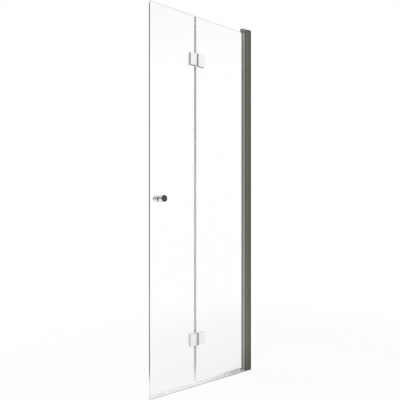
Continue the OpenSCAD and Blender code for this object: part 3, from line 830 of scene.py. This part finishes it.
# machined, cast and cut pieces: the solid is right and only its edges are broken
edgeBreaks = {
    "pivot_glass": 0.6, "fold_glass": 0.6,
    "upper_pivot_leaf": 0.8, "lower_pivot_leaf": 0.8, "upper_fold_leaf": 0.8, "lower_fold_leaf": 0.8,
    "upper_pivot_block": 0.8, "lower_pivot_block": 0.8,
    "pivot_clamp_plates": 0.5, "fold_clamp_plates": 0.5,
    "wall_channel": 0.35, "jamb_profile": 0.35,
    "threshold_rail": 0.4, "threshold_end_cap": 0.6,
}
for node, width in edgeBreaks.items():
    eased(node, width)
print("edges eased")


# stile: a round tube with a glazing slot, and the gasket in it

stile = {"radius": 10.3, "lipRound": 0.5, "endRound": 0.4, "stretches": 24}
stileAxis = edgesOf("pivot_stile", "x")[1] - stile["radius"]
stileRun = edgesOf("pivot_stile", "z")
gasket = {"lipRound": 0.45, "backRound": 0.2, "seatRound": 0.1, "back": 1.0, "endRound": 0.1,
          "stretches": 12}
gasketMouth, slotEnd = edgesOf("stile_gasket", "x")
slotHalf = edgesOf("stile_gasket", "y")[1]


def stileLoop():
    # a circle about the axis, cut open on the glass side between the slot's two walls; the arcs
    # at the mouth round the slot's lips
    curl = stile["lipRound"]
    lip = stile["radius"] - curl
    mouth = math.degrees(math.asin((slotHalf + curl) / lip))
    cu = stileAxis - lip * math.cos(math.radians(mouth))
    cv = lip * math.sin(math.radians(mouth))
    loop = arc(stileAxis, 0, stile["radius"], -180 + mouth, 180 - mouth, 88)
    loop += arc(cu, cv, curl, 180 - mouth, 270, 5)
    loop += [(slotEnd, slotHalf), (slotEnd, -slotHalf)]
    loop += arc(cu, -cv, curl, 90, 180 + mouth, 5)
    return np.array(loop)


def gasketLoop():
    # a U round the pane's edge, with a small rounded lip on each leg
    seat, inner = slotEnd - gasket["back"], door["glassHalf"]
    lip, back, corner = gasket["lipRound"], gasket["backRound"], gasket["seatRound"]
    leg = [(slotEnd, slotHalf, back), (gasketMouth, slotHalf, lip), (gasketMouth, inner, lip),
           (seat, inner, corner)]
    return roundLoop(leg + [(u, -v, radius) for u, v, radius in reversed(leg)], 5)


run = carryLoop(stileLoop(), *stileRun, "z", stile["endRound"], rows=3, stretches=stile["stretches"])
addPiece("stile_tube", carried("stile_tube", run), "pivot_stile")
run = carryLoop(gasketLoop(), *stileRun, "z", gasket["endRound"], rows=2, stretches=gasket["stretches"])
addPiece("stile_gasket_strip", carried("stile_gasket_strip", run), "stile_gasket")
print("stile ready")


# seal strips: bulb strips at the fold line, drip strips under both panes

strips = {"wall": 1.0, "leg": 10.0, "clear": 0.05, "tipRound": 0.3, "legRound": 0.6, "endRound": 0.12,
          "play": 0.6,                     # between the two bulbs
          "bulbBend": 0.9, "hingeGap": 1.0,
          "footBend": 0.8, "lipHalf": 0.6, "lipRound": 0.5,
          "lipRoot": 0.5, "lipTaper": 0.6, "rootRound": 0.4, "taperRound": 0.2, "stretches": 8}
stripHalf = door["glassHalf"] + strips["clear"]
stripOut = door["glassHalf"] + strips["wall"]


def bulbLengths():
    # from the drip strip to the panes' top, stopping short of each hinge
    gap = strips["hingeGap"]
    stops = [edgesOf("pivot_edge_seal", "z")[0]]
    for low, high in (door["lowerHinge"], door["upperHinge"]):
        stops += [low - gap, high + gap]
    stops.append(door["paneTop"])
    return list(zip(stops[::2], stops[1::2]))


def bulbLoop(side):
    # from the outer leg's tip over the bridge, round the bulb and back along the other leg;
    # the inner walls hold the glass
    edge = (door["foldEdges"][1] - door["foldEdges"][0]) / 2
    bend, tip = edge - strips["wall"], edge + strips["leg"]
    bulb = (bend - strips["play"] / 2) / 2
    leg = [(tip, stripHalf, strips["tipRound"]), (tip, stripOut, strips["legRound"]),
           (bend, stripOut, strips["bulbBend"])]
    loop = roundLoop(leg, 4).tolist()
    loop += [(bend, bulb)] + arc(strips["play"] / 2 + bulb, 0, bulb, 90, 270, 20) + [(bend, -bulb)]
    loop += roundLoop([(u, -v, radius) for u, v, radius in reversed(leg)], 4).tolist()
    loop += [(edge - strips["clear"], -stripHalf), (edge - strips["clear"], stripHalf)]
    loop = np.array(loop)
    loop[:, 0] = foldLine + side * loop[:, 0]
    return loop


def dripLoop(lipEnd):
    # a U under the pane with a thin tapered lip hanging from its middle
    foot = door["paneFoot"] - strips["clear"]
    top, under, lip = foot + strips["leg"], foot - strips["wall"], strips["lipHalf"]
    half = [(stripHalf, foot, 0), (stripHalf, top, strips["tipRound"]), (stripOut, top, strips["legRound"]),
            (stripOut, under, strips["footBend"]), (lip + strips["lipRoot"], under, strips["rootRound"]),
            (lip, under - strips["lipTaper"], strips["taperRound"]), (lip, lipEnd, strips["lipRound"])]
    return roundLoop(half + [(-u, v, radius) for u, v, radius in reversed(half)], 4)


def stripRun(loop, length, axis):
    return carryLoop(loop, *length, axis, strips["endRound"], rows=2, stretches=strips["stretches"])


for side, node in ((1, "pivot_edge_seal"), (-1, "fold_edge_seal")):
    runs = [stripRun(bulbLoop(side), length, "z") for length in bulbLengths()]
    addPiece(node + "_strip", carried(node + "_strip", *runs), node)
for node in ("pivot_drip_seal", "fold_drip_seal"):
    run = stripRun(dripLoop(edgesOf(node, "z")[0]), edgesOf(node, "x"), "x")
    addPiece(node + "_strip", carried(node + "_strip", run), node)
print("seals ready")


# knob: two turned grips on one axis through the glass

knob = {"radius": 17.0, "neckRadius": 16.0, "neckEnd": 3.5, "recess": 1.2, "rim": 1.0, "edge": 0.4,
        "baseRound": 0.8, "soft": 0.1, "shoulder": 0.9, "mouthRound": 0.25,
        "lines": (8.0, 9.4), "lineHalf": 0.25, "lineFlat": 0.08, "lineDeep": 0.18,
        "disc": 0.8, "discGap": 0.1, "dish": 0.15, "discFlat": 0.3,
        "discEdge": ((0, 0.25), (0.08, 0.06)),      # in from the rim and down from the face
        "washerRadius": 11.0, "washerHole": 3.2}
knobFoot = edgesOf("inner_knob", "y")[0]


def knobOutline():
    # from the middle of the foot out over a narrow neck, along the grip with two fine turned lines,
    # over the rounded rim and down into the recess
    foot, face = knobFoot, door["knobFace"]
    rise, floor = foot + knob["neckEnd"], face - knob["recess"]
    r, neck = knob["radius"], knob["neckRadius"]
    inner = r - knob["rim"]
    base, soft, shoulder = knob["baseRound"], knob["soft"], knob["shoulder"]
    edge, mouth = knob["edge"], knob["mouthRound"]
    points = [(0, foot), (neck - 1.5 * base, foot)] + arc(neck - base, foot + base, base, -90, 0, 5)
    points += [(neck, rise - 2 * soft), (neck + soft, rise)]
    points += arc(r - shoulder, rise + shoulder + soft, shoulder, -45, 0, 4)
    deep, half, flat = r - knob["lineDeep"], knob["lineHalf"], knob["lineFlat"]
    for line in knob["lines"]:
        at = foot + line
        points += [(r, at - half), (deep, at - flat), (deep, at + flat), (r, at + half)]
    points += arc(r - edge, face - edge, edge, 0, 90, 7)
    points += arc(inner + mouth, face - mouth, mouth, 90, 180, 5)
    points += [(inner, floor + soft), (inner - soft, floor), (0, floor)]
    return points


def discOutline():
    # a thin disc whose face is dished at the middle: out = face - dish * (1 - (r / rim) ** 2)
    low = door["knobFace"] - knob["recess"]
    face = low + knob["disc"]
    rim = knob["radius"] - knob["rim"] - knob["discGap"]
    radius = np.linspace(rim - knob["discFlat"], 0, 14)
    dish = face - knob["dish"] * (1 - (radius / rim) ** 2)
    edge = [(rim - into, face - down) for into, down in knob["discEdge"]]
    return [(0, low), (rim, low)] + edge + np.stack([radius, dish], -1).tolist()


def washerOutline():
    # a flat ring with a half-round outer edge
    low, high, hole = door["glassHalf"], knobFoot, knob["washerHole"]
    half = (high - low) / 2
    rim = arc(knob["washerRadius"] - half, low + half, half, -90, 90, 9)
    return [(hole, low)] + rim + [(hole, high), (hole, low)]


def bothSides(name, outline):
    # the same turned shape outside and inside
    return joined(name, [turned(name, outline, door["knobAt"], side) for side in (-1, 1)])


addPiece("outer_grip", turned("outer_grip", knobOutline(), door["knobAt"], -1), "outer_knob")
addPiece("inner_grip", turned("inner_grip", knobOutline(), door["knobAt"], 1), "inner_knob")
addPiece("grip_discs", bothSides("grip_discs", discOutline()), "knob_discs")
addPiece("grip_washers", bothSides("grip_washers", washerOutline()), "knob_washers")
print("knob ready")


# caps: the flat cap over both wall profiles and the snap covers of the clamp screws

caps = {"corner": 1.2, "backRound": 0.2, "soft": 0.8,
        "lugX": (-25.0, -2.0), "lugHalf": 9.4, "lugRound": 0.5, "lugSoft": 0.2,
        "covers": 3, "coverRadius": 4.7, "coverWall": 1.2, "coverDome": 0.6}


def coverOutline():
    # a snap cover: a short straight wall, then a flattened dome; r = R * cos a ** 0.6,
    # out = wall + rest * sin a
    low, high = edgesOf("jamb_screw_caps", "y")
    foot, radius = low + caps["coverWall"], caps["coverRadius"]
    a = np.radians(np.linspace(0, 90, 12))
    dome = np.stack([radius * np.cos(a) ** caps["coverDome"], foot + (high - foot) * np.sin(a)], -1)
    return [(0, low), (radius, low)] + dome.tolist()


def makeCovers():
    low, high = edgesOf("jamb_screw_caps", "z")
    heights = np.linspace(low + caps["coverRadius"], high - caps["coverRadius"], caps["covers"]).round(1)
    x = middleOf("jamb_screw_caps", "x")
    covers = [turned("cover", coverOutline(), (x, z), 1, steps=48) for z in heights]
    return joined("screw_covers", covers)


def capRuns():
    # the plate that lies on both profiles, and the lug under it that sits in the jamb's hollow
    reach, half = edgesOf("top_cap", "x")[0], edgesOf("top_cap", "y")[1]
    lugLow, top = edgesOf("top_cap", "z")
    seat = edgesOf("wall_channel", "z")[1]
    back, corner, lugRound = caps["backRound"], caps["corner"], caps["lugRound"]
    plate = roundLoop([(0, -half, back), (0, half, back), (reach, half, corner), (reach, -half, corner)], 5)
    far, near = caps["lugX"]
    side = caps["lugHalf"]
    corners = ((near, -side), (near, side), (far, side), (far, -side))
    lug = roundLoop([(u, v, lugRound) for u, v in corners], 3)
    return (carryLoop(plate, seat, top, "z", caps["soft"], rows=5),
            carryLoop(lug, lugLow, seat + caps["lugSoft"], "z", caps["lugSoft"], rows=2))


addPiece("profile_cap", carried("profile_cap", *capRuns()), "top_cap")
addPiece("screw_covers", makeCovers(), "jamb_screw_caps")
print("caps ready")
